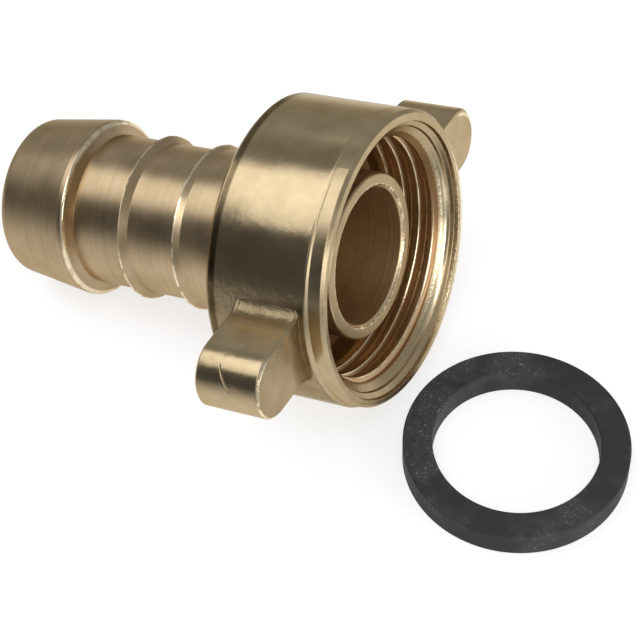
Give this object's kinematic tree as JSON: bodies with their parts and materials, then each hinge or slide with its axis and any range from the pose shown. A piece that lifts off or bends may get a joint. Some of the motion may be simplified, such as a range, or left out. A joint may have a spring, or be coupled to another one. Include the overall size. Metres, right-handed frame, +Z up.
{
  "type": "hose coupling",
  "caption": "Brass hose coupling: a barbed hose tail with a swivelling wing nut for a pipe thread, and its flat rubber washer lying loose beside it.",
  "frame": {"origin": "centre of the bounding box, on the floor that the coupling and the washer lie on", "axes": "+Z up; +X along the coupling seen from above, the way the nut's mouth points; the coupling itself leans back from +X by about 13 degrees, as it lies"},
  "size_m": [0.0737, 0.0489, 0.0335],
  "materials": {
    "tail_brass": "fine turned, satin",
    "nut_brass": "smooth forged body, turned rim",
    "washer_rubber": "matt"
  },
  "bodies": {
    "tail": {"hose_tail": "tail_brass", "sealing_washer": "washer_rubber"},
    "nut": {"wing_nut": "nut_brass"}
  },
  "joints": [
    {"name": "nut_swivel", "type": "hinge", "parent": "tail", "child": "nut", "pos_m": [-0.00351, 0, 0.01554], "axis": [0.9748, 0, 0.2232], "continuous": true}
  ]
}
